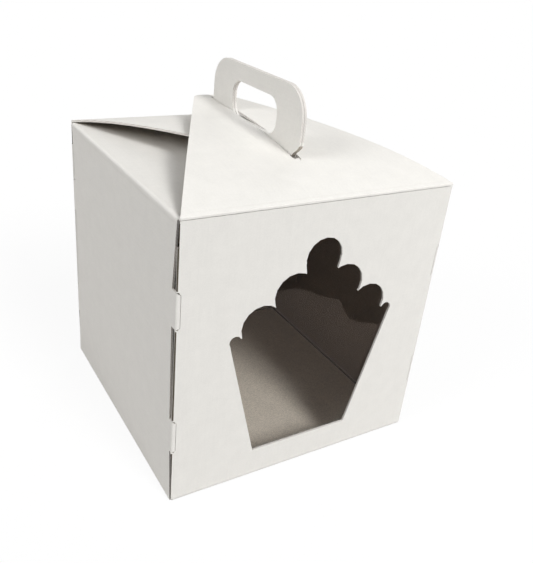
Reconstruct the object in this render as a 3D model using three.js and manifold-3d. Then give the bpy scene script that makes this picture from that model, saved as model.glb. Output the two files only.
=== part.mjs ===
// Cupcake box with a carrying handle, folded from one die-cut sheet of white board.
// Millimetres, +Z up. Origin at the middle of the base. The window faces -Y.
import * as THREE from 'three';
import { mergeVertices } from 'three/addons/utils/BufferGeometryUtils.js';
import Module from 'manifold-3d';

const wasm = await Module();
wasm.setup();

// Box
const width = 200;
const depth = 200;
const height = 204;
const board = 1.5;
const creaseInside = 0.3;
const layerGap = 0.3;

// Front and back flaps, each a trapezoid with a rounded tip
const flapTipHalf = 12.8;
const flapTipRadius = 6;
const flapTipMargin = 6.5;
const flapSideGap = 0.5;
const flapCurve = 66;
const bead = 1.1;
const frontFlapRise = 24.1;
const backFlapRise = 17.5;
const backFlapGap = 0.5;
const backFlapSettle = 1;

// Side flaps, which meet at the middle and turn up into the handle
const sideFlapSag = 2;
const sideFlapSetback = 3;
const sideFlapTaper = 7;

// Handle, with its heights above the top edge of the front panel
const handleWidth = 121;
const handleHeight = 55;
const handleCorner = 20;
const handleNeckWidth = 104;
const handleNeckHeight = 9;
const handleShoulderHeight = 22;
const gripWidth = 61;
const gripHeight = 25.5;
const gripBar = 12;
const gripCorner = 10;

// Slot that the handle comes through
const slotGap = 0.35;
const slotNearGap = 5.4;
const slotFarGap = 4;
const slotLip = 1.3;
const slotLipMiddle = 6;
const slotLipLength = 44;
const slotEndWidth = 5.5;
const slotEndLength = 5.5;
const slotSlit = 0.6;
const slotSlitLength = 3;

// Hook tabs of the side panels: the lower one from the base, the upper one from the top edge
const hookLength = 24.5;
const lowerHook = 42;
const upperHookDrop = 46;
const hookReach = 2.4;
const hookTaper = 1.6;

// Gap between a side panel and the folded edge beside it
const gapAtBase = 1.5;
const gapAtLowerHook = 5;
const gapAtUpperHook = 7;
const gapAtTop = 3;

// Lock flaps behind the side panels
const lockLength = 45;
const lockBottom = 40;
const lockTopDrop = 18;
const lockTaper = 14;
const lockSlantRun = 8;
const lockSlantIn = 5.6;

// Window, the outline of a cupcake, with its heights above the bottom of the cup
const windowDrop = 1.65;
const cupBottomHalf = 39;
const cupTopHalf = 63.5;
const cupHeight = 92.5;
const icing = [
  { x: 59.6, z: 93.5, radius: 4.2 },
  { x: 41.3, z: 101, radius: 14.8 },
  { x: 19, z: 119.3, radius: 15 },
];
const cherry = { x: 0, z: 142.1, radius: 13.6 };
const cherryNeck = [
  [12.1, 132.8],
  [13.4, 139.5],
];

// Clear film glued behind the front panel
const film = 0.2;
const filmMargin = 9;

// Worked-out places
const halfW = width / 2;
const halfD = depth / 2;
const fold = board + creaseInside;
const sideTop = height - board - layerGap;
const hingeY = -halfD + bead;
const hingeZ = height - bead;
const frontTop = height - 2 * bead - layerGap;
const handleTop = height + handleHeight;
const gripTop = handleTop - gripBar;
const handleHalf = board + layerGap / 2;
const slotHalf = handleHalf + slotGap;
const slotNear = -handleNeckWidth / 2 - slotNearGap;
const slotFar = handleWidth / 2 + slotFarGap;
const flapTip = slotFar + flapTipMargin;
const hookSpans = [
  [lowerHook, lowerHook + hookLength],
  [height - upperHookDrop - hookLength, height - upperHookDrop],
];
const cornerGap = [
  [0, gapAtBase],
  [hookSpans[0][1], gapAtLowerHook],
  [hookSpans[1][1], gapAtUpperHook],
  [sideTop, gapAtTop],
];
const windowHeight = cherry.z + cherry.radius;
const windowBottom = (height - windowHeight) / 2 - windowDrop;
const over = 5;
const AXIS = {
  x: [new THREE.Vector3(0, 1, 0), new THREE.Vector3(0, 0, 1), new THREE.Vector3(1, 0, 0)],
  y: [new THREE.Vector3(1, 0, 0), new THREE.Vector3(0, 0, 1), new THREE.Vector3(0, -1, 0)],
  z: [new THREE.Vector3(1, 0, 0), new THREE.Vector3(0, 1, 0), new THREE.Vector3(0, 0, 1)],
};
const SIGNS = [
  [1, 1],
  [-1, 1],
  [1, -1],
  [-1, -1],
];

// A closed geometry as a solid, mirrored across the middle planes where a sign is -1
function solid(geometry, signX = 1, signY = 1) {
  geometry.deleteAttribute('normal');
  geometry.deleteAttribute('uv');
  const merged = mergeVertices(geometry, 1e-5);
  merged.scale(signX, signY, 1);
  const triVerts = new Uint32Array(merged.index.array);
  if (signX * signY < 0) {
    for (let i = 0; i < triVerts.length; i += 3) {
      [triVerts[i], triVerts[i + 1]] = [triVerts[i + 1], triVerts[i]];
    }
  }
  const vertProperties = new Float32Array(merged.attributes.position.array);
  return new wasm.Manifold(new wasm.Mesh({ numProp: 3, vertProperties, triVerts }));
}

// A flat outline pushed along an axis. The outline is in YZ, XZ or XY for axis x, y or z
function prism(shape, axis, from, to, signX = 1, signY = 1) {
  const geometry = new THREE.ExtrudeGeometry(shape, {
    depth: to - from,
    bevelEnabled: false,
    curveSegments: 8,
  });
  geometry.applyMatrix4(new THREE.Matrix4().makeBasis(...AXIS[axis]));
  const start = axis === 'y' ? to : from;
  geometry.translate(axis === 'x' ? start : 0, axis === 'y' ? start : 0, axis === 'z' ? start : 0);
  return solid(geometry, signX, signY);
}

function polygon(points) {
  return new THREE.Shape(points.map(([u, v]) => new THREE.Vector2(u, v)));
}

function rectangle(u0, v0, u1, v1) {
  return polygon([[u0, v0], [u1, v0], [u1, v1], [u0, v1]]);
}

function roundedRectangle(u0, v0, u1, v1, radius) {
  const shape = new THREE.Shape();
  shape.moveTo(u0 + radius, v0);
  shape.absarc(u1 - radius, v0 + radius, radius, -Math.PI / 2, 0, false);
  shape.absarc(u1 - radius, v1 - radius, radius, 0, Math.PI / 2, false);
  shape.absarc(u0 + radius, v1 - radius, radius, Math.PI / 2, Math.PI, false);
  shape.absarc(u0 + radius, v0 + radius, radius, Math.PI, 1.5 * Math.PI, false);
  return shape;
}

// Section of the folded board: a line of its outer face, given its thickness on one side
// of the way it runs (1 left, -1 right)
function boardSection(path, side) {
  const outer = path.getPoints(4).filter((p, i, all) => i === 0 || p.distanceTo(all[i - 1]) > 1e-4);
  const normals = outer.slice(1).map((p, i) => {
    const along = p.clone().sub(outer[i]).normalize();
    return new THREE.Vector2(-along.y, along.x).multiplyScalar(side);
  });
  const inner = outer.map((p, i) => {
    const before = normals[Math.max(i - 1, 0)];
    const after = normals[Math.min(i, normals.length - 1)];
    const middle = before.clone().add(after).normalize();
    return p.clone().addScaledVector(middle, board / middle.dot(after));
  });
  return new THREE.Shape([...outer, ...inner.reverse()]);
}

function union(solids) {
  return solids.reduce((all, one) => all.add(one));
}

// Height of a flap's outer face above the top edges, at a distance from its fold
function rise(amount, distance) {
  return amount * (1 - Math.exp(-distance / flapCurve));
}

function frontFlapHeight(y) {
  return height + rise(frontFlapRise, y - hingeY);
}

// The back flap rises by itself, then settles against the underside of the front flap
function backFlapHeight(y) {
  const free = height + rise(backFlapRise, halfD - fold - y);
  const held = frontFlapHeight(y) - board - backFlapGap;
  return -backFlapSettle * Math.log(Math.exp((height - free) / backFlapSettle)
    + Math.exp((height - held) / backFlapSettle)) + height;
}

// Handle slot in a front or back flap, drawn for the front one. Its near end is wider than the
// handle, with a short slit at one corner, and its left lip bulges beside the finger hole
function slotOutline() {
  const endHalf = slotEndWidth / 2;
  const endInside = slotNear + slotEndLength;
  const lipNear = slotLipMiddle - slotLipLength / 2;
  const lipFar = slotLipMiddle + slotLipLength / 2;
  const slot = new THREE.Path();
  slot.moveTo(endHalf, slotNear);
  slot.lineTo(endHalf, endInside);
  slot.lineTo(slotHalf, endInside);
  slot.lineTo(slotHalf, slotFar);
  slot.lineTo(-slotHalf, slotFar);
  slot.lineTo(-slotHalf, lipFar);
  slot.quadraticCurveTo(-slotHalf - 2 * slotLip, slotLipMiddle, -slotHalf, lipNear);
  slot.lineTo(-slotHalf, endInside);
  slot.lineTo(-endHalf, endInside);
  slot.lineTo(-endHalf, slotNear);
  slot.lineTo(endHalf - 2 * slotSlit, slotNear);
  slot.lineTo(endHalf - 3 * slotSlit, slotNear - slotSlitLength);
  return slot;
}

// Plan of a front or back flap, drawn for the front one from its fold towards +Y
function flapPlan(signY) {
  const base = halfW - flapSideGap;
  const start = -halfD - over;
  const edge = new THREE.Vector2(flapTipHalf - base, flapTip + halfD).setLength(flapTipRadius);
  const shape = new THREE.Shape();
  shape.moveTo(-base, start);
  shape.lineTo(base, start);
  shape.lineTo(base, -halfD);
  shape.lineTo(flapTipHalf - edge.x, flapTip - edge.y);
  shape.quadraticCurveTo(flapTipHalf, flapTip, flapTipHalf - flapTipRadius, flapTip);
  shape.lineTo(-flapTipHalf + flapTipRadius, flapTip);
  shape.quadraticCurveTo(-flapTipHalf, flapTip, -flapTipHalf + edge.x, flapTip - edge.y);
  shape.lineTo(-base, -halfD);
  shape.holes.push(slotOutline());
  return prism(shape, 'z', height - fold, handleTop, 1, signY);
}

// Floor, side panel, side flap and one half of the handle: one strip of board, shown by its
// section across the box and trimmed to the outline of each panel
function sideStrip(sign) {
  const path = new THREE.Path();
  const bend = handleHalf + creaseInside;
  path.moveTo(0, 0);
  path.lineTo(-halfW + fold, 0);
  path.absarc(-halfW + fold, fold, fold, 1.5 * Math.PI, Math.PI, true);
  path.lineTo(-halfW, sideTop - fold);
  path.absarc(-halfW + fold, sideTop - fold, fold, Math.PI, Math.PI / 2, true);
  path.quadraticCurveTo(-halfW / 2, sideTop - 2 * sideFlapSag, -bend, sideTop);
  path.absarc(-bend, sideTop + creaseInside, creaseInside, -Math.PI / 2, 0, false);
  path.lineTo(-handleHalf, handleTop);
  const strip = prism(boardSection(path, -1), 'y', -halfD, halfD, sign);

  const edge = cornerGap.map(([z, gap]) => [halfD - gap, z]);
  const corner = edge.at(-1)[0];
  const right = [[edge[0][0], -over], ...edge, [corner, sideTop + over]];
  const left = right.map(([y, z]) => [-y, z]).reverse();
  const panel = polygon([...right, ...left]);
  const foldZone = -halfW + 2 * fold;
  const flapStart = halfD - sideFlapSetback;
  const flapEnd = flapStart - sideFlapTaper;
  const flap = polygon([[foldZone, -flapStart], [0, -flapEnd], [0, flapEnd], [foldZone, flapStart]]);
  const keep = union([
    prism(panel, 'x', -halfW - over, foldZone, sign),
    prism(rectangle(foldZone, -halfD + fold, 0, halfD - fold), 'z', -over, over, sign),
    prism(flap, 'z', sideTop - over, sideTop + creaseInside, sign),
    prism(handleOutline(), 'x', -2 * fold, 0, sign),
  ]);
  return strip.intersect(keep);
}

// Outline of the handle seen from the side, with the finger hole
function handleOutline() {
  const neck = handleNeckWidth / 2;
  const half = handleWidth / 2;
  const neckTop = height + handleNeckHeight;
  const shoulder = height + handleShoulderHeight;
  const waist = (neckTop + shoulder) / 2;
  const cornerY = half - handleCorner;
  const cornerZ = handleTop - handleCorner;
  const shape = new THREE.Shape();
  shape.moveTo(-neck, sideTop - board);
  shape.lineTo(neck, sideTop - board);
  shape.lineTo(neck, neckTop);
  shape.bezierCurveTo(neck, waist, half, waist, half, shoulder);
  shape.absarc(cornerY, cornerZ, handleCorner, 0, Math.PI / 2, false);
  shape.absarc(-cornerY, cornerZ, handleCorner, Math.PI / 2, Math.PI, false);
  shape.lineTo(-half, shoulder);
  shape.bezierCurveTo(-half, waist, -neck, waist, -neck, neckTop);
  const grip = roundedRectangle(-gripWidth / 2, gripTop - gripHeight, gripWidth / 2, gripTop, gripCorner);
  shape.holes.push(grip);
  return shape;
}

// Front or back panel with its share of the floor, trimmed between the corner folds
function endPanel(top) {
  const path = new THREE.Path();
  path.moveTo(0, 0);
  path.lineTo(-halfD + fold, 0);
  path.absarc(-halfD + fold, fold, fold, 1.5 * Math.PI, Math.PI, true);
  path.lineTo(-halfD, top);
  return path;
}

// Corner fold of an end panel and the lock flap that tucks in behind the side panel
function lockCorner(top, signX, signY) {
  const path = new THREE.Path();
  const foldX = -halfW + fold;
  const foldY = -halfD + fold;
  path.moveTo(foldX + fold, -halfD);
  path.lineTo(foldX, -halfD);
  path.absarc(foldX, foldY, fold, 1.5 * Math.PI, Math.PI, true);
  path.lineTo(-halfW + lockSlantIn, foldY + lockSlantRun);
  path.lineTo(-halfW + lockSlantIn, -halfD + lockLength);
  const strip = prism(boardSection(path, -1), 'z', fold, top, signX, signY);
  const turn = -halfD + fold * (1 - Math.SQRT1_2);
  const end = -halfD + lockLength + over;
  const lockTop = height - lockTopDrop;
  const outline = polygon([
    [-halfD - over, 0], [turn, 0], [turn, lockBottom], [end, lockBottom + lockTaper],
    [end, lockTop - lockTaper], [turn, lockTop], [turn, top + over], [-halfD - over, top + over],
  ]);
  const keep = prism(outline, 'x', -halfW - over, -halfW + 4 * over, signX, signY);
  return strip.intersect(keep);
}

// Hook tab: a tongue of the side panel that turns round the corner onto the end panel
function hookTab([bottom, top], signX, signY) {
  const foldX = -halfW + fold;
  const foldY = -halfD + fold;
  const path = new THREE.Path();
  path.moveTo(-halfW, foldY + lockSlantRun);
  path.lineTo(-halfW, foldY);
  path.absarc(foldX, foldY, fold, Math.PI, 1.5 * Math.PI, false);
  path.lineTo(-halfW + hookReach, -halfD);
  const tongue = prism(boardSection(path, 1), 'z', bottom, top, signX, signY);
  const taper = polygon([
    [-halfW - over, bottom], [-halfW, bottom], [-halfW + hookReach, bottom + hookTaper],
    [-halfW + hookReach, top - hookTaper], [-halfW, top], [-halfW - over, top],
  ]);
  const wide = rectangle(-halfW - over, bottom, -halfW + fold, top);
  const keep = prism(taper, 'y', -halfD - over, foldY, signX, signY)
    .add(prism(wide, 'y', foldY, 0, signX, signY));
  return tongue.intersect(keep);
}

// Slit in the corner fold that a hook tab sits in
function hookSlit([bottom, top], signX, signY) {
  const low = bottom - layerGap;
  const high = top + layerGap;
  const slitEnd = -halfW + hookReach + layerGap;
  const face = polygon([
    [-halfW - over, low], [-halfW, low], [slitEnd, low + hookTaper],
    [slitEnd, high - hookTaper], [-halfW, high], [-halfW - over, high],
  ]);
  const side = rectangle(-halfW - over, low, -halfW + board + layerGap, high);
  return prism(face, 'y', -halfD - over, -halfD + fold, signX, signY)
    .add(prism(side, 'y', -halfD - over, -halfD + fold + lockSlantRun, signX, signY));
}

// Cupcake window: the cup and the middle of the icing as one outline, joined with round bumps
function windowCut() {
  const from = -halfD - over;
  const to = -halfD + over;
  const centres = icing.map(({ x, z }) => [x, z]);
  const right = [[cupBottomHalf, 0], [cupTopHalf, cupHeight], ...centres, ...cherryNeck];
  const left = right.map(([x, z]) => [-x, z]).reverse();
  const middle = prism(polygon([...right, ...left]), 'y', from, to);
  const mirrored = icing.map(({ x, z, radius }) => ({ x: -x, z, radius }));
  const bumps = [cherry, ...icing, ...mirrored].map(({ x, z, radius }) => {
    const circle = new THREE.Shape();
    circle.absarc(x, z, radius, 0, 2 * Math.PI, false);
    return prism(circle, 'y', from, to);
  });
  return union([middle, ...bumps]).translate(0, 0, windowBottom);
}

// The folded sheet, apart from the front flap
function makeCarton() {
  const front = prism(boardSection(endPanel(frontTop), -1), 'x', -halfW + fold, halfW - fold);
  const backPath = endPanel(height - fold);
  backPath.absarc(-halfD + fold, height - fold, fold, Math.PI, Math.PI / 2, true);
  const steps = 40;
  for (let i = 1; i <= steps; i += 1) {
    const y = -halfD + fold + ((flapTip + halfD) * i) / steps;
    backPath.lineTo(y, backFlapHeight(-y));
  }
  const backStrip = prism(boardSection(backPath, -1), 'x', -halfW, halfW, 1, -1);
  const panel = rectangle(-halfD - over, -over, 0, height - fold);
  const backPanel = prism(panel, 'x', -halfW + fold, halfW - fold, 1, -1);
  const back = backStrip.intersect(backPanel.add(flapPlan(-1)));
  const corners = SIGNS.map(([sx, sy]) => lockCorner(sy > 0 ? frontTop : height - fold, sx, sy));
  const hooks = SIGNS.flatMap(([sx, sy]) => hookSpans.map((span) => [span, sx, sy]));
  const ends = union([front, back, ...corners]);
  const slits = union(hooks.map((hook) => hookSlit(...hook)));
  const sides = union([sideStrip(1), sideStrip(-1), ...hooks.map((hook) => hookTab(...hook))]);
  return ends.subtract(slits).subtract(windowCut()).add(sides);
}

// The flap that opens first, with the rolled edge that it turns on
function makeFrontFlap() {
  const steps = 48;
  const path = new THREE.Path();
  path.moveTo(hingeY, height);
  for (let i = 1; i <= steps; i += 1) {
    const y = hingeY + ((flapTip + over - hingeY) * i) / steps;
    path.lineTo(y, frontFlapHeight(y));
  }
  const strip = prism(boardSection(path, -1), 'x', -halfW, halfW);
  const roll = new THREE.Shape();
  roll.absarc(hingeY, hingeZ, bead, 0, 2 * Math.PI, false);
  const half = halfW - flapSideGap;
  return strip.intersect(flapPlan(1)).add(prism(roll, 'x', -half, half));
}

function makeFilm() {
  const half = cupTopHalf + filmMargin;
  const sheet = rectangle(-half, -filmMargin, half, windowHeight + filmMargin);
  return prism(sheet, 'y', -halfD + board, -halfD + board + film).translate(0, 0, windowBottom);
}

function toMesh(name, body, material) {
  const { vertProperties, triVerts, numProp } = body.getMesh();
  const geometry = new THREE.BufferGeometry();
  const positions = new Float32Array((vertProperties.length / numProp) * 3);
  for (let i = 0; i < positions.length / 3; i += 1) {
    positions.set(vertProperties.subarray(i * numProp, i * numProp + 3), i * 3);
  }
  geometry.setAttribute('position', new THREE.BufferAttribute(positions, 3));
  geometry.setIndex(new THREE.BufferAttribute(new Uint32Array(triVerts), 1));
  geometry.computeVertexNormals();
  const mesh = new THREE.Mesh(geometry, material);
  mesh.name = name;
  return mesh;
}

const whiteBoard = new THREE.MeshStandardMaterial({ color: 0xe6e4df, roughness: 0.75, metalness: 0 });
const clearFilm = new THREE.MeshStandardMaterial({
  color: 0xf2f4f4,
  roughness: 0.05,
  metalness: 0,
  transparent: true,
  opacity: 0.2,
});

const box = new THREE.Group();
box.add(toMesh('carton', makeCarton(), whiteBoard));
box.add(toMesh('front_flap', makeFrontFlap(), whiteBoard));
box.add(toMesh('window_film', makeFilm(), clearFilm));

export default box;
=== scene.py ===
"""Cupcake box: white folded board with a film window and a carrying handle, in soft studio light."""

import math

import bmesh
import bpy
from mathutils import Matrix, Vector


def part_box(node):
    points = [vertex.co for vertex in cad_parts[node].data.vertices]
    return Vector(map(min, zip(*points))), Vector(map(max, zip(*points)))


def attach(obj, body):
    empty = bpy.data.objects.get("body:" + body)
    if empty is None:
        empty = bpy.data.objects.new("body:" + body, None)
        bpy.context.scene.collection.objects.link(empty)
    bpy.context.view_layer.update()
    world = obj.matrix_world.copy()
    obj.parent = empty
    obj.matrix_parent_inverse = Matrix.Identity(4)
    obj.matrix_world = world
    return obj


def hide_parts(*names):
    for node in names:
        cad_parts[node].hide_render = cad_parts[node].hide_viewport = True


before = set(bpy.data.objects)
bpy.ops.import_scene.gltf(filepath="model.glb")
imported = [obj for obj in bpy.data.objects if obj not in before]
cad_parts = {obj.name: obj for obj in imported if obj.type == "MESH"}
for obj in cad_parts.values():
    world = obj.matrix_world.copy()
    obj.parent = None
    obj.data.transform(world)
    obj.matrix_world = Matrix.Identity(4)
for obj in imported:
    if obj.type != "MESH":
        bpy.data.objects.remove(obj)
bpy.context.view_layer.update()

MM = 0.001

# Boxes of the CAD nodes
CARTON_LOW, CARTON_HIGH = (Vector(corner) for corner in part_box("carton"))
FILM_LOW, FILM_HIGH = (Vector(corner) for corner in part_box("window_film"))
FLAP_LOW, FLAP_HIGH = (Vector(corner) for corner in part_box("front_flap"))

# The carton: its board, its folds and the hinge of the front flap
HALF = CARTON_HIGH.x
FRONT_Y = CARTON_LOW.y
BOARD = 1.5 * MM
FLUTE_PITCH = 1.9 * MM
FOLD_RADIUS = 1.8 * MM
TOP_FOLD = 204 * MM
SIDE_FOLD = 202.2 * MM
FRONT_HINGE = Vector((0, -98.9 * MM, 202.9 * MM))

# The domed front flap: how far it would rise in the end, and the distance over which most of that happens
FLAP_RISE = 24.1 * MM
FLAP_CURVE = 66 * MM

# The handle: the height where it stands clear of the flaps, half its length and half its thickness
HANDLE_SHOULDER = 226 * MM
HANDLE_HALF_WIDTH = 60.5 * MM
HANDLE_HALF_THICKNESS = 1.7 * MM
HANDLE_MARGIN = 0.5 * MM

# Hook tabs on the upright edges: lowest and highest point
HOOKS = ((41 * MM, 67.5 * MM), (132.5 * MM, 159 * MM))

# Camera, worked out from the photograph. Lengths in box widths
WIDTH = 2 * HALF
CAMERA_PLACE = Vector((-1.1921, -2.0085, 1.7038)) * WIDTH
CAMERA_RIGHT = Vector((0.85866, -0.50439, 0.09110))
CAMERA_DOWN = Vector((-0.16315, -0.43748, -0.88431))
CAMERA_FORWARD = Vector((0.48589, 0.74445, -0.45793))
CAMERA_FOCAL_PX = 673.34
CAMERA_NEAREST = 0.01
IMAGE_HEIGHT_PX = 563
SENSOR_MM = 36

# Facing of a face: mostly along an axis, at least half along it, steeply down, and nearly upright
FACING = 0.7
HALF_FACING = 0.5
FACING_DOWN = -0.3
NEARLY_UPRIGHT = 0.35

# Masks: how near the outside counts as on it, and a depth just past one board
SKIN = 0.1 * MM
PAST_BOARD = 1.1 * BOARD

# Masks of the inner liner: how deep it starts, half way up the base, just over the base, and the height
# where the walls end and the undersides begin, with a slight overlap
LINER_DEPTH = 1.0 * MM
MID_BASE = 0.5 * BOARD
OVER_BASE = 2.0 * BOARD
ROOM_TOP = SIDE_FOLD - 3.0 * MM
ROOM_OVERLAP = 0.1 * MM

# Masks of the shaded gaps: distances in from the outside, and how far below the side fold they stop
GAP_BELOW_FOLD = 2.0 * MM
CORNER_REACH = 2.6 * MM
CORNER_FAR = 1.45 * MM
CORNER_NEAR = 0.35 * MM
SLANT_REACH = 7.0 * MM
SLANT_FAR = 14.0 * MM
SLANT_NEAR = 1.3 * MM
BASE_LINE_HEIGHT = 1.1 * MM
BASE_LINE_WIDTH = 1.2 * MM

# The shade in the handle's slot: how dark, half its width, and where it starts and ends under the flap's top
SLOT_SHADE = 0.75
SLOT_HALF_WIDTH = 1.9 * MM
SLOT_SHADE_START = 0.3 * MM
SLOT_SHADE_END = 2.2 * MM

# Masks of the cut edges: the window's surroundings, the side panels' ends and the top flaps' edges
WINDOW_REACH = 70 * MM
WINDOW_TOP = 190 * MM
PANEL_END_INSET = 1.1 * MM
FLAP_EDGE_DROP = 0.5 * MM
FLAP_EDGE_CLEAR = 1.8 * MM
FLAP_EDGE_SETBACK = 3.0 * MM

# The low ridge that a crease leaves beside its fold
RIDGE_HALF_WIDTH = 1.1 * MM
RIDGE_SETBACK = 1.2 * MM
RIDGE_HEIGHT = 5.0
TOP_FACE_DROP = 1.0 * MM

# Noise patterns: scale, detail and roughness
MOTTLE_NOISE = (90.0, 5.0, 0.7)
STREAK_NOISE = (620.0, 3.0, 0.55)
FLECK_NOISE = (900.0, 2.0, 0.7)
FIBRE_NOISE = (2600.0, 3.0, 0.6)
COCKLE_NOISE = (38.0, 2.0, 0.5)
FILM_NOISE = (28.0, 1.0, 0.4)

# How far streaks and fibres are drawn out, and each pattern's share of the board's relief
STREAK_STRETCH = 0.06
FIBRE_STRETCH = 0.5
FLUTE_RELIEF = 0.05
FIBRE_RELIEF = 0.35
STREAK_RELIEF = 0.25
COCKLE_RELIEF = 1.1

# The board's surface. Ranges hold the pattern's lowest and highest value and what they become
STREAK_TONE = 0.4
FLECK_TONE = 0.8
TONE_RANGE = (0.75, 1.45, 0.945, 1.03)
INNER_FLECK_RANGE = (0.3, 0.7, 0.86, 1.12)
ROUGHNESS_RANGE = (0.3, 0.7, 0.62, 0.78)
INNER_ROUGHNESS = 0.95
BOARD_SPECULAR = 0.25
BOARD_BUMP_STRENGTH = 0.5
BOARD_BUMP_DEPTH = 0.05 * MM
INNER_RELIEF = 0.2
EDGE_FLUTE_SHADE = 0.22

# The film's surface
FILM_ROUGHNESS = 0.03
FILM_IOR = 2.6
FILM_ALPHA = 0.09
FILM_BUMP_STRENGTH = 0.4
FILM_BUMP_DEPTH = 0.3 * MM

# The film's shape: cells of its mesh, the depth of its bow, the even share of that, and how sharply it
# flattens at its rim
FILM_CELLS = 40
FILM_BOW = 0.35 * MM
FILM_SLACK = 0.7
FILM_RIM_POWER = 4

# Ripples across and up the film: heights as shares of the bow, waves in radians over the sheet, and bends
RIPPLE_ACROSS = 0.35
RIPPLE_ACROSS_TURNS = 7
RIPPLE_ACROSS_BEND = 2
RIPPLE_BEND_TURNS = 5
RIPPLE_UP = 0.3
RIPPLE_UP_TURNS = 9
RIPPLE_UP_SLANT = 4

# Sections of the two strips on the front fold: back and up from the hinge, in mm
PANEL_LIP = ((-1.08, -1.7), (-1.08, -1.14), (-0.9, -1.22), (-0.6, -1.33), (-0.5, -1.7))
FLAP_LIP = ((-1.08, 0.0), (-1.08, -0.85), (-0.75, -1.0), (-0.5, -0.95), (-0.9, 0.0))

# Foot of the dark card that the film mirrors, in box widths, and the card's height
CARD_FOOT = (
    (0.00, -1.90), (0.64, -1.61), (0.74, -1.60), (0.81, -1.46), (0.86, -1.41),
    (0.80, -1.23), (0.83, -1.18), (0.91, -1.13), (1.60, -0.90),
)
CARD_HEIGHT = 1.6 * WIDTH

# Colours, linear
BOARD_WHITE = (0.82, 0.803, 0.765, 1)
# The liner in lit and shaded copies: painted shade on the walls and the top flaps' undersides, painted light
# on the floor inside
SHADED_LINER_GREY = (0.31, 0.245, 0.20, 1)
LIT_BASE_LINER = (0.90, 0.82, 0.70, 1)
SHADED_FLAP_LINER = (0.45, 0.40, 0.345, 1)
# Painted shade for the gaps at the corners, the foot of the walls inside and the handle's slot
CREASE_SHADE = (0.10, 0.085, 0.065, 1)
CUT_EDGE = (0.78, 0.755, 0.72, 1)
FILM_TINT = (0.03, 0.03, 0.03, 1)
CARD_DARK = (0.02, 0.018, 0.016, 1)
FLOOR_SEEN = (1, 1, 1, 1)
FLOOR_MIRRORED = (0.80, 0.63, 0.53, 1)
FLOOR_BOUNCE = (0.42, 0.42, 0.42, 1)
WORLD_WHITE = (1, 1, 1, 1)

# The floor: half its size in metres, and how much of it glows to the camera
FLOOR_HALF_SIZE = 6
FLOOR_GLOW = 0.9

# Soft far lights: name, direction from the box to the light, strength, and softness in degrees
FAR_LIGHTS = (
    ("low_key", (0.32, -1.7, 1.23), 0.47, 17),
    ("high_key", (0.38, -1.35, 1.63), 0.27, 22),
    ("left_fill", (-1.75, -0.1, 0.98), 0.37, 28),
    ("left_top_fill", (-1.0, -0.1, 1.73), 0.07, 28),
    ("back_fill", (1.2, 1.2, 0.9), 0.16, 30),
)
WORLD_FILL = 0.22

# The small lamp near the right: place and direction in metres, size and power
SIDE_GLOW_PLACE = (0.35, -0.45, 0.28)
SIDE_GLOW_DIRECTION = (0.25, -0.35, 0.12)
SIDE_GLOW_SIZE = 0.2
SIDE_GLOW_POWER = 0.3


def link(obj):
    bpy.context.scene.collection.objects.link(obj)
    return obj


def add_camera():
    data = bpy.data.cameras.new("camera")
    data.sensor_fit = "VERTICAL"
    data.sensor_height = SENSOR_MM
    data.lens = CAMERA_FOCAL_PX / IMAGE_HEIGHT_PX * SENSOR_MM
    data.clip_start = CAMERA_NEAREST
    camera = link(bpy.data.objects.new("camera", data))
    turn = Matrix((CAMERA_RIGHT, -CAMERA_DOWN, -CAMERA_FORWARD)).transposed().to_4x4()
    camera.matrix_world = Matrix.Translation(CAMERA_PLACE) @ turn
    bpy.context.scene.camera = camera


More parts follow.
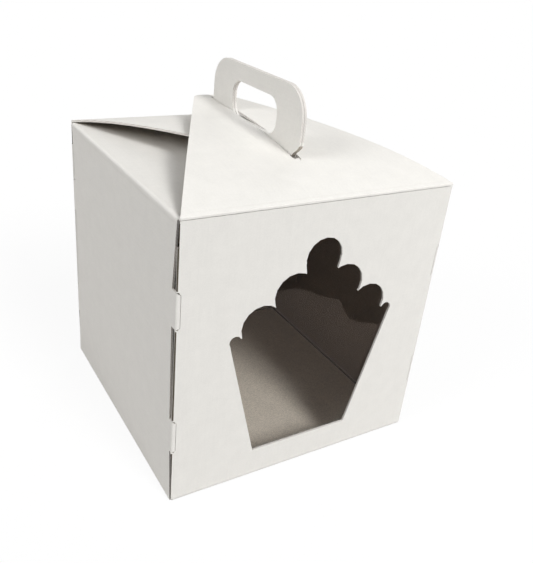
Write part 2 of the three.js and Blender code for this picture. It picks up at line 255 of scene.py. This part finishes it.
class Nodes:
    """Short ways to place nodes in one node tree."""

    def __init__(self, tree):
        self.tree = tree

    def new(self, kind, **settings):
        node = self.tree.nodes.new(kind)
        for name, value in settings.items():
            setattr(node, name, value)
        return node

    def put(self, value, socket):
        """Links a socket, or sets a plain value."""
        if isinstance(value, bpy.types.NodeSocket):
            self.tree.links.new(value, socket)
        else:
            socket.default_value = value

    def math(self, operation, *values):
        node = self.new("ShaderNodeMath", operation=operation)
        for value, socket in zip(values, node.inputs):
            self.put(value, socket)
        return node.outputs[0]

    def plus(self, first, second):
        return self.math("ADD", first, second)

    def less(self, first, second):
        return self.math("SUBTRACT", first, second)

    def times(self, first, second):
        return self.math("MULTIPLY", first, second)

    def size(self, value):
        """The value without its sign."""
        return self.math("ABSOLUTE", value)

    def larger(self, first, second):
        return self.math("MAXIMUM", first, second)

    def above(self, value, limit):
        return self.math("GREATER_THAN", value, limit)

    def below(self, value, limit):
        return self.math("LESS_THAN", value, limit)

    def both(self, *masks):
        result = masks[0]
        for mask in masks[1:]:
            result = self.times(result, mask)
        return result

    def either(self, *masks):
        result = masks[0]
        for mask in masks[1:]:
            result = self.larger(result, mask)
        return result

    def opposite(self, mask):
        return self.less(1.0, mask)

    def ranged(self, value, low, high, to_low, to_high):
        """The value carried from the range low to high into the range to_low to to_high."""
        node = self.new("ShaderNodeMapRange")
        for number, socket in zip((value, low, high, to_low, to_high), node.inputs):
            self.put(number, socket)
        return node.outputs[0]

    def choose(self, mask, where_off, where_on):
        return self.ranged(mask, 0.0, 1.0, where_off, where_on)

    def blend(self, factor, first, second, blend_type="MIX"):
        """Two colours mixed. A Mix node set to colours has them on its inputs 6 and 7, and output 2."""
        node = self.new("ShaderNodeMix", data_type="RGBA", blend_type=blend_type)
        self.put(factor, node.inputs[0])
        self.put(first, node.inputs[6])
        self.put(second, node.inputs[7])
        return node.outputs[2]

    def noise(self, vector, scale, detail, roughness):
        node = self.new("ShaderNodeTexNoise")
        self.put(vector, node.inputs["Vector"])
        self.put(scale, node.inputs["Scale"])
        self.put(detail, node.inputs["Detail"])
        self.put(roughness, node.inputs["Roughness"])
        return node.outputs["Fac"]

    def split(self, vector):
        node = self.new("ShaderNodeSeparateXYZ")
        self.put(vector, node.inputs[0])
        return node.outputs

    def join(self, x, y, z):
        node = self.new("ShaderNodeCombineXYZ")
        for value, socket in zip((x, y, z), node.inputs):
            self.put(value, socket)
        return node.outputs[0]

    def bump(self, height, strength, depth):
        node = self.new("ShaderNodeBump")
        self.put(strength, node.inputs["Strength"])
        self.put(depth, node.inputs["Distance"])
        self.put(height, node.inputs["Height"])
        return node.outputs[0]

    def white_rays(self):
        """The rays to which the studio is white, and those of them that are reflections."""
        path = self.new("ShaderNodeLightPath")
        mirrored = path.outputs["Is Glossy Ray"]
        seen = self.either(
            path.outputs["Is Camera Ray"],
            mirrored,
            path.outputs["Is Transmission Ray"],
        )
        return seen, mirrored


class BoardPoint:
    """A point of the board as sockets: its place, its distances from the middle planes and its facing."""

    def __init__(self, n, place, face):
        self.x, self.y, self.z = n.split(place)
        self.wide = n.size(self.x)
        self.deep = n.size(self.y)
        self.outermost = n.larger(self.wide, self.deep)
        face_x, face_y, self.face_up = n.split(face)
        self.facing_side = n.size(face_x)
        self.facing_end = n.size(face_y)
        self.facing_level = n.size(self.face_up)


def new_group(name, inputs, outputs):
    """A shader node group with named number outputs. Returns its nodes and its two end nodes."""
    group = bpy.data.node_groups.new(name, "ShaderNodeTree")
    for label, kind, start in inputs:
        socket = group.interface.new_socket(label, in_out="INPUT", socket_type=kind)
        if start is not None:
            socket.default_value = start
    for label in outputs:
        group.interface.new_socket(label, in_out="OUTPUT", socket_type="NodeSocketFloat")
    nodes = Nodes(group)
    return group, nodes, nodes.new("NodeGroupInput"), nodes.new("NodeGroupOutput")


def board_grain_group():
    """Soft mottling, streaks along the flutes of the board and the fibres of its paper."""
    group, n, start, end = new_group(
        "board_grain",
        [
            ("Place", "NodeSocketVector", None),
            ("Face", "NodeSocketVector", None),
            ("Flute Pitch", "NodeSocketFloat", FLUTE_PITCH),
        ],
        ["Mottle", "Streak", "Fleck", "Height"],
    )
    place = start.outputs["Place"]
    x, y, z = n.split(place)
    face_x = n.split(start.outputs["Face"])[0]
    side_panel = n.above(n.size(face_x), FACING)
    elsewhere = n.opposite(side_panel)
    across = n.plus(n.both(side_panel, z), n.both(elsewhere, x))
    along = n.plus(y, n.both(elsewhere, z))
    streak = n.noise(n.join(across, n.times(along, STREAK_STRETCH), 0.0), *STREAK_NOISE)
    fibre = n.noise(n.join(n.times(across, FIBRE_STRETCH), along, z), *FIBRE_NOISE)
    cockle = n.noise(n.join(across, along, 0.0), *COCKLE_NOISE)
    turns = n.math("DIVIDE", n.times(across, math.tau), start.outputs["Flute Pitch"])
    height = n.plus(n.times(n.math("SINE", turns), FLUTE_RELIEF), n.times(fibre, FIBRE_RELIEF))
    height = n.plus(height, n.times(streak, STREAK_RELIEF))
    n.put(n.noise(place, *MOTTLE_NOISE), end.inputs["Mottle"])
    n.put(streak, end.inputs["Streak"])
    n.put(n.noise(place, *FLECK_NOISE), end.inputs["Fleck"])
    n.put(n.plus(height, n.times(cockle, COCKLE_RELIEF)), end.inputs["Height"])
    return group


def liner_masks(n, at):
    """The inner liner: the walls and floor of the room inside, and the undersides of the top flaps. The
    walls and undersides get painted shade, the floor painted light.
    """
    room = n.both(
        n.below(at.outermost, HALF - LINER_DEPTH),
        n.above(at.z, MID_BASE),
        n.below(at.z, ROOM_TOP),
    )
    underside = n.both(n.above(at.z, ROOM_TOP - ROOM_OVERLAP), n.below(at.face_up, FACING_DOWN))
    return room, underside


def corner_gap_mask(n, at):
    """Painted shade in the narrow gaps up the corners, between the hook tabs, and on the slanted ends of the
    lock flaps.
    """
    under_fold = n.below(at.z, SIDE_FOLD - GAP_BELOW_FOLD)
    hooks = n.either(*(n.both(n.above(at.z, low), n.below(at.z, high)) for low, high in HOOKS))
    corner = n.both(
        n.above(at.wide, HALF - CORNER_REACH),
        n.above(at.deep, HALF - CORNER_FAR),
        n.below(at.deep, HALF - CORNER_NEAR),
        under_fold,
        n.opposite(hooks),
    )
    slanted = n.both(
        n.above(at.wide, HALF - SLANT_REACH),
        n.below(at.wide, HALF - BOARD - SKIN),
        n.above(at.deep, HALF - SLANT_FAR),
        n.below(at.deep, HALF - SLANT_NEAR),
        n.below(at.face_up, HALF_FACING),
        n.above(at.z, OVER_BASE),
        under_fold,
    )
    return n.either(corner, slanted)


def base_shade_mask(n, at, room):
    """Painted shade: a dark line where the walls meet the floor inside."""
    return n.both(
        room,
        n.below(at.z, BOARD + BASE_LINE_HEIGHT),
        n.above(at.outermost, HALF - BOARD - BASE_LINE_WIDTH),
    )


def slot_mask(n, at):
    """Painted shade on the sides of the handle's slot, measured down from the curved top of the front flap.
    """
    decay = n.math("EXPONENT", n.math("DIVIDE", n.less(at.y, FRONT_HINGE.y), -FLAP_CURVE))
    flap_top = n.plus(TOP_FOLD, n.times(n.opposite(decay), FLAP_RISE))
    beneath = n.less(flap_top, at.z)
    return n.both(
        SLOT_SHADE,
        n.below(at.wide, SLOT_HALF_WIDTH),
        n.below(at.face_up, HALF_FACING),
        n.below(at.deep, HANDLE_HALF_WIDTH),
        n.above(beneath, SLOT_SHADE_START),
        n.below(beneath, SLOT_SHADE_END),
    )


def ridge_mask(n, at):
    """The low round ridges beside the folds, 1 on the middle line of each."""
    side_panel = n.both(n.above(at.wide, HALF - SKIN), n.above(at.facing_side, FACING))
    end_panel = n.both(n.above(at.deep, HALF - SKIN), n.above(at.facing_end, FACING))
    back_panel = n.both(end_panel, n.above(at.y, 0.0))
    top_face = n.both(n.above(at.z, SIDE_FOLD - TOP_FACE_DROP), n.above(at.face_up, HALF_FACING))
    setback = FOLD_RADIUS + RIDGE_SETBACK
    lines = (
        (side_panel, at.z, SIDE_FOLD - setback),
        (side_panel, at.z, setback),
        (end_panel, at.z, setback),
        (back_panel, at.z, TOP_FOLD - setback),
        (top_face, at.wide, HALF - setback),
        (top_face, at.y, FRONT_HINGE.y + RIDGE_SETBACK),
        (top_face, at.y, HALF - setback),
    )
    ridges = []
    for panel, axis, middle in lines:
        distance = n.math("DIVIDE", n.less(axis, middle), RIDGE_HALF_WIDTH)
        bulge = n.larger(n.opposite(n.times(distance, distance)), 0.0)
        ridges.append(n.both(panel, bulge))
    return n.either(*ridges)


def cut_edge_mask(n, at):
    """The bare cut edges: round the window and the handle, at the side panels' ends and on the top flaps."""
    window = n.both(
        n.below(at.y, FRONT_Y + PAST_BOARD),
        n.below(at.facing_end, HALF_FACING),
        n.below(at.wide, WINDOW_REACH),
        n.below(at.z, WINDOW_TOP),
    )
    handle = n.both(
        n.below(at.wide, HANDLE_HALF_THICKNESS),
        n.below(at.facing_side, HALF_FACING),
        n.below(at.deep, HANDLE_HALF_WIDTH + HANDLE_MARGIN),
        n.above(at.z, HANDLE_SHOULDER),
    )
    panel_ends = n.both(
        n.above(at.wide, HALF - PAST_BOARD),
        n.above(at.facing_end, FACING),
        n.below(at.deep, HALF - PANEL_END_INSET),
    )
    top_flaps = n.both(
        n.above(at.z, TOP_FOLD - FLAP_EDGE_DROP),
        n.below(at.facing_level, NEARLY_UPRIGHT),
        n.above(at.wide, FLAP_EDGE_CLEAR),
        n.above(at.y, FRONT_Y + FLAP_EDGE_SETBACK),
    )
    return n.either(window, handle, panel_ends, top_flaps)


def flute_pattern(n, at):
    """The flutes that show on a cut edge, from 0 to 1."""
    run = n.plus(n.plus(at.x, at.y), at.z)
    wave = n.math("SINE", n.times(run, math.tau / FLUTE_PITCH))
    return n.ranged(wave, -1.0, 1.0, 0.0, 1.0)


def board_sides_group():
    """Masks of the board's sides: the inner liner, the painted shade in the gaps, the ridges and the cut
    edges.
    """
    group, n, start, end = new_group(
        "board_sides",
        [("Place", "NodeSocketVector", None), ("Face", "NodeSocketVector", None)],
        ["Inside", "Base", "Underside", "Painted Shade", "Ridge", "Cut Edge", "Flutes"],
    )
    at = BoardPoint(n, start.outputs["Place"], start.outputs["Face"])
    room, underside = liner_masks(n, at)
    painted_shade = n.either(corner_gap_mask(n, at), base_shade_mask(n, at, room), slot_mask(n, at))
    n.put(n.either(room, underside), end.inputs["Inside"])
    n.put(n.both(room, n.below(at.z, OVER_BASE)), end.inputs["Base"])
    n.put(underside, end.inputs["Underside"])
    n.put(painted_shade, end.inputs["Painted Shade"])
    n.put(ridge_mask(n, at), end.inputs["Ridge"])
    n.put(cut_edge_mask(n, at), end.inputs["Cut Edge"])
    n.put(flute_pattern(n, at), end.inputs["Flutes"])
    return group


def empty_material(name):
    """A material without nodes, and the short ways to place some in it."""
    material = bpy.data.materials.new(name)
    material.use_nodes = True
    material.node_tree.nodes.clear()
    return material, Nodes(material.node_tree)


def principled(name):
    material, nodes = empty_material(name)
    shader = nodes.new("ShaderNodeBsdfPrincipled")
    output = nodes.new("ShaderNodeOutputMaterial")
    nodes.put(shader.outputs[0], output.inputs["Surface"])
    return material, nodes, shader


def board_material(grain, sides):
    """Matt white coated outside, a grey-brown liner inside with painted shade on its walls and the flaps'
    undersides and painted light on its floor, painted shade in the gaps, and bare cut edges.
    """
    material, n, shader = principled("white_board")
    coords = n.new("ShaderNodeTexCoord")
    texture = n.new("ShaderNodeGroup", node_tree=grain)
    side = n.new("ShaderNodeGroup", node_tree=sides)
    for group in (texture, side):
        n.put(coords.outputs["Object"], group.inputs["Place"])
        n.put(coords.outputs["Normal"], group.inputs["Face"])
    inside = side.outputs["Inside"]
    mottle = texture.outputs["Mottle"]
    fleck = texture.outputs["Fleck"]

    edge = n.blend(n.times(side.outputs["Flutes"], EDGE_FLUTE_SHADE), CUT_EDGE, SHADED_LINER_GREY)
    # The liner in lit and shaded copies: painted light on the floor inside, painted shade on the walls and
    # on the top flaps' undersides
    liner = n.blend(side.outputs["Base"], SHADED_LINER_GREY, LIT_BASE_LINER)
    liner = n.blend(side.outputs["Underside"], liner, SHADED_FLAP_LINER)
    colour = n.blend(inside, BOARD_WHITE, liner)
    colour = n.blend(side.outputs["Cut Edge"], colour, edge)
    # Painted shade in the gaps at the corners, along the foot of the walls inside and in the handle's slot
    colour = n.blend(side.outputs["Painted Shade"], colour, CREASE_SHADE)

    tone = n.plus(mottle, n.times(texture.outputs["Streak"], STREAK_TONE))
    tone = n.plus(tone, n.times(fleck, FLECK_TONE))
    inner_fleck = n.choose(inside, 1.0, n.ranged(fleck, *INNER_FLECK_RANGE))
    tint = n.times(n.ranged(tone, *TONE_RANGE), inner_fleck)
    n.put(n.blend(1.0, colour, n.join(tint, tint, tint), "MULTIPLY"), shader.inputs["Base Color"])

    outer_roughness = n.ranged(mottle, *ROUGHNESS_RANGE)
    n.put(n.choose(inside, outer_roughness, INNER_ROUGHNESS), shader.inputs["Roughness"])
    n.put(BOARD_SPECULAR, shader.inputs["Specular IOR Level"])

    relief = n.times(texture.outputs["Height"], n.choose(inside, 1.0, INNER_RELIEF))
    height = n.plus(relief, n.times(side.outputs["Ridge"], RIDGE_HEIGHT))
    n.put(n.bump(height, BOARD_BUMP_STRENGTH, BOARD_BUMP_DEPTH), shader.inputs["Normal"])
    return material


def film_material():
    """Thin clear film: mostly see-through, with a glossy wavy surface."""
    material, n, shader = principled("clear_film")
    n.put(FILM_TINT, shader.inputs["Base Color"])
    n.put(FILM_ROUGHNESS, shader.inputs["Roughness"])
    n.put(FILM_IOR, shader.inputs["IOR"])
    n.put(FILM_ALPHA, shader.inputs["Alpha"])
    place = n.new("ShaderNodeTexCoord").outputs["Object"]
    waves = n.bump(n.noise(place, *FILM_NOISE), FILM_BUMP_STRENGTH, FILM_BUMP_DEPTH)
    n.put(waves, shader.inputs["Normal"])
    return material


def floor_material():
    """Pale floor that keeps a soft shadow, white to the camera and warm in reflections."""
    material, n = empty_material("studio_floor")
    seen, mirrored = n.white_rays()
    diffuse = n.new("ShaderNodeBsdfDiffuse")
    n.put(n.blend(seen, FLOOR_BOUNCE, FLOOR_SEEN), diffuse.inputs["Color"])
    glow = n.new("ShaderNodeEmission")
    n.put(n.blend(mirrored, FLOOR_SEEN, FLOOR_MIRRORED), glow.inputs["Color"])
    mix = n.new("ShaderNodeMixShader")
    n.put(n.times(seen, FLOOR_GLOW), mix.inputs[0])
    n.put(diffuse.outputs[0], mix.inputs[1])
    n.put(glow.outputs[0], mix.inputs[2])
    n.put(mix.outputs[0], n.new("ShaderNodeOutputMaterial").inputs["Surface"])
    return material


def card_material():
    """A plain dark colour that no light changes."""
    material, n = empty_material("dark_screen")
    glow = n.new("ShaderNodeEmission")
    n.put(CARD_DARK, glow.inputs["Color"])
    n.put(glow.outputs[0], n.new("ShaderNodeOutputMaterial").inputs["Surface"])
    return material


def finish_mesh(mesh, name, material):
    data = bpy.data.meshes.new(name)
    mesh.to_mesh(data)
    mesh.free()
    data.materials.append(material)
    return link(bpy.data.objects.new(name, data))


def film_ripple(u, v):
    """Slow ripples of the film, at shares u across and v up its sheet."""
    bend = RIPPLE_ACROSS_BEND * math.sin(RIPPLE_BEND_TURNS * v)
    across = RIPPLE_ACROSS * math.sin(RIPPLE_ACROSS_TURNS * u + bend)
    up = RIPPLE_UP * math.sin(RIPPLE_UP_TURNS * v + RIPPLE_UP_SLANT * u)
    return across + up


def away_from_rim(share):
    """1 in the middle of the sheet, falling to 0 at its rim."""
    return max(0.0, 1 - (2 * share) ** FILM_RIM_POWER)


def add_film(material):
    """The film as a slightly wavy sheet, glued flat round its rim. It starts as a grid one unit wide."""
    mesh = bmesh.new()
    bmesh.ops.create_grid(mesh, x_segments=FILM_CELLS, y_segments=FILM_CELLS, size=0.5)
    size = FILM_HIGH - FILM_LOW
    middle = (FILM_HIGH + FILM_LOW) / 2
    for vertex in mesh.verts:
        u, v = vertex.co.x, vertex.co.y
        bow = away_from_rim(u) * away_from_rim(v) * (FILM_SLACK + film_ripple(u, v)) * FILM_BOW
        vertex.co = Vector((middle.x + u * size.x, FILM_LOW.y + bow, middle.z + v * size.z))
    bmesh.ops.recalc_face_normals(mesh, faces=mesh.faces)
    for polygon in mesh.faces:
        polygon.smooth = True
    film = finish_mesh(mesh, "film_sheet", material)
    wall = film.modifiers.new("thickness", "SOLIDIFY")
    wall.thickness = size.y
    wall.offset = -1 if film.data.polygons[0].normal.y < 0 else 1
    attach(film, "carton")
    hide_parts("window_film")


def carry_section(name, corners, start, end, material, body):
    """A closed outline carried in a straight line from start to end."""
    mesh = bmesh.new()
    outline = [mesh.verts.new(start + corner) for corner in corners]
    edges = [mesh.edges.new(pair) for pair in zip(outline, outline[1:] + outline[:1])]
    face = bmesh.ops.contextual_create(mesh, geom=edges)["faces"]
    grown = bmesh.ops.extrude_face_region(mesh, geom=face)["geom"]
    moved = [item for item in grown if isinstance(item, bmesh.types.BMVert)]
    bmesh.ops.translate(mesh, verts=moved, vec=end - start)
    bmesh.ops.recalc_face_normals(mesh, faces=mesh.faces)
    piece = finish_mesh(mesh, name, material)
    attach(piece, body)


def add_front_fold(material):
    """The outside of the front fold: the creased edge of the panel, and the paper round the flap's fold.
    The two meet in a hairline, and the flap's share turns with it about the fold."""
    left = Vector((FLAP_LOW.x, 0, 0))
    right = Vector((FLAP_HIGH.x, 0, 0))
    lips = (("panel_fold_lip", PANEL_LIP, "carton"), ("flap_fold_lip", FLAP_LIP, "front_flap"))
    for name, outline, body in lips:
        corners = [FRONT_HINGE + Vector((0, back * MM, up * MM)) for back, up in outline]
        carry_section(name, corners, left, right, material, body)


def dress_nodes(material):
    """Gives the CAD nodes that are seen the board's material."""
    for name in ("carton", "front_flap"):
        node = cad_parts[name]
        node.data.materials.clear()
        node.data.materials.append(material)


def add_floor():
    mesh = bmesh.new()
    bmesh.ops.create_grid(mesh, x_segments=1, y_segments=1, size=FLOOR_HALF_SIZE)
    floor = finish_mesh(mesh, "studio_floor", floor_material())


def add_dark_card():
    """A dark folding card that only reflections see. The film mirrors its foot on the floor."""
    mesh = bmesh.new()
    foot = [mesh.verts.new(Vector((x, y, 0)) * WIDTH) for x, y in CARD_FOOT]
    edges = [mesh.edges.new(pair) for pair in zip(foot, foot[1:])]
    grown = bmesh.ops.extrude_edge_only(mesh, edges=edges)["geom"]
    moved = [item for item in grown if isinstance(item, bmesh.types.BMVert)]
    bmesh.ops.translate(mesh, verts=moved, vec=Vector((0, 0, CARD_HEIGHT)))
    card = finish_mesh(mesh, "dark_screen", card_material())
    card.visible_camera = False
    card.visible_diffuse = False
    card.visible_shadow = False
    card.visible_transmission = False


def place_light(data, direction):
    """A light that shines from the given direction and that no reflection shows."""
    light = link(bpy.data.objects.new(data.name, data))
    light.rotation_euler = Vector(direction).to_track_quat("Z", "Y").to_euler()
    light.visible_glossy = False
    return light


def add_far_light(name, direction, strength, softness):
    data = bpy.data.lights.new(name, "SUN")
    data.energy = strength * math.pi
    data.angle = math.radians(softness)
    place_light(data, direction)


def add_side_glow():
    """A small lamp near the right, which lifts that side of the front a little."""
    data = bpy.data.lights.new("side_glow", "AREA")
    data.shape = "DISK"
    data.size = SIDE_GLOW_SIZE
    data.energy = SIDE_GLOW_POWER
    light = place_light(data, SIDE_GLOW_DIRECTION)
    light.location = SIDE_GLOW_PLACE
    light.visible_camera = False


def add_world():
    """White to the camera and in reflections, and a plain even light on everything."""
    world = bpy.data.worlds.new("studio")
    world.use_nodes = True
    world.node_tree.nodes.clear()
    n = Nodes(world.node_tree)
    seen = n.white_rays()[0]
    background = n.new("ShaderNodeBackground")
    n.put(WORLD_WHITE, background.inputs["Color"])
    n.put(n.choose(seen, WORLD_FILL, 1.0), background.inputs["Strength"])
    n.put(background.outputs[0], n.new("ShaderNodeOutputWorld").inputs["Surface"])
    bpy.context.scene.world = world


add_camera()
board = board_material(board_grain_group(), board_sides_group())
dress_nodes(board)
add_film(film_material())
add_front_fold(board)
add_floor()
add_dark_card()
add_world()
for name, direction, strength, softness in FAR_LIGHTS:
    add_far_light(name, direction, strength, softness)
add_side_glow()
bpy.context.scene.view_settings.view_transform = "Standard"
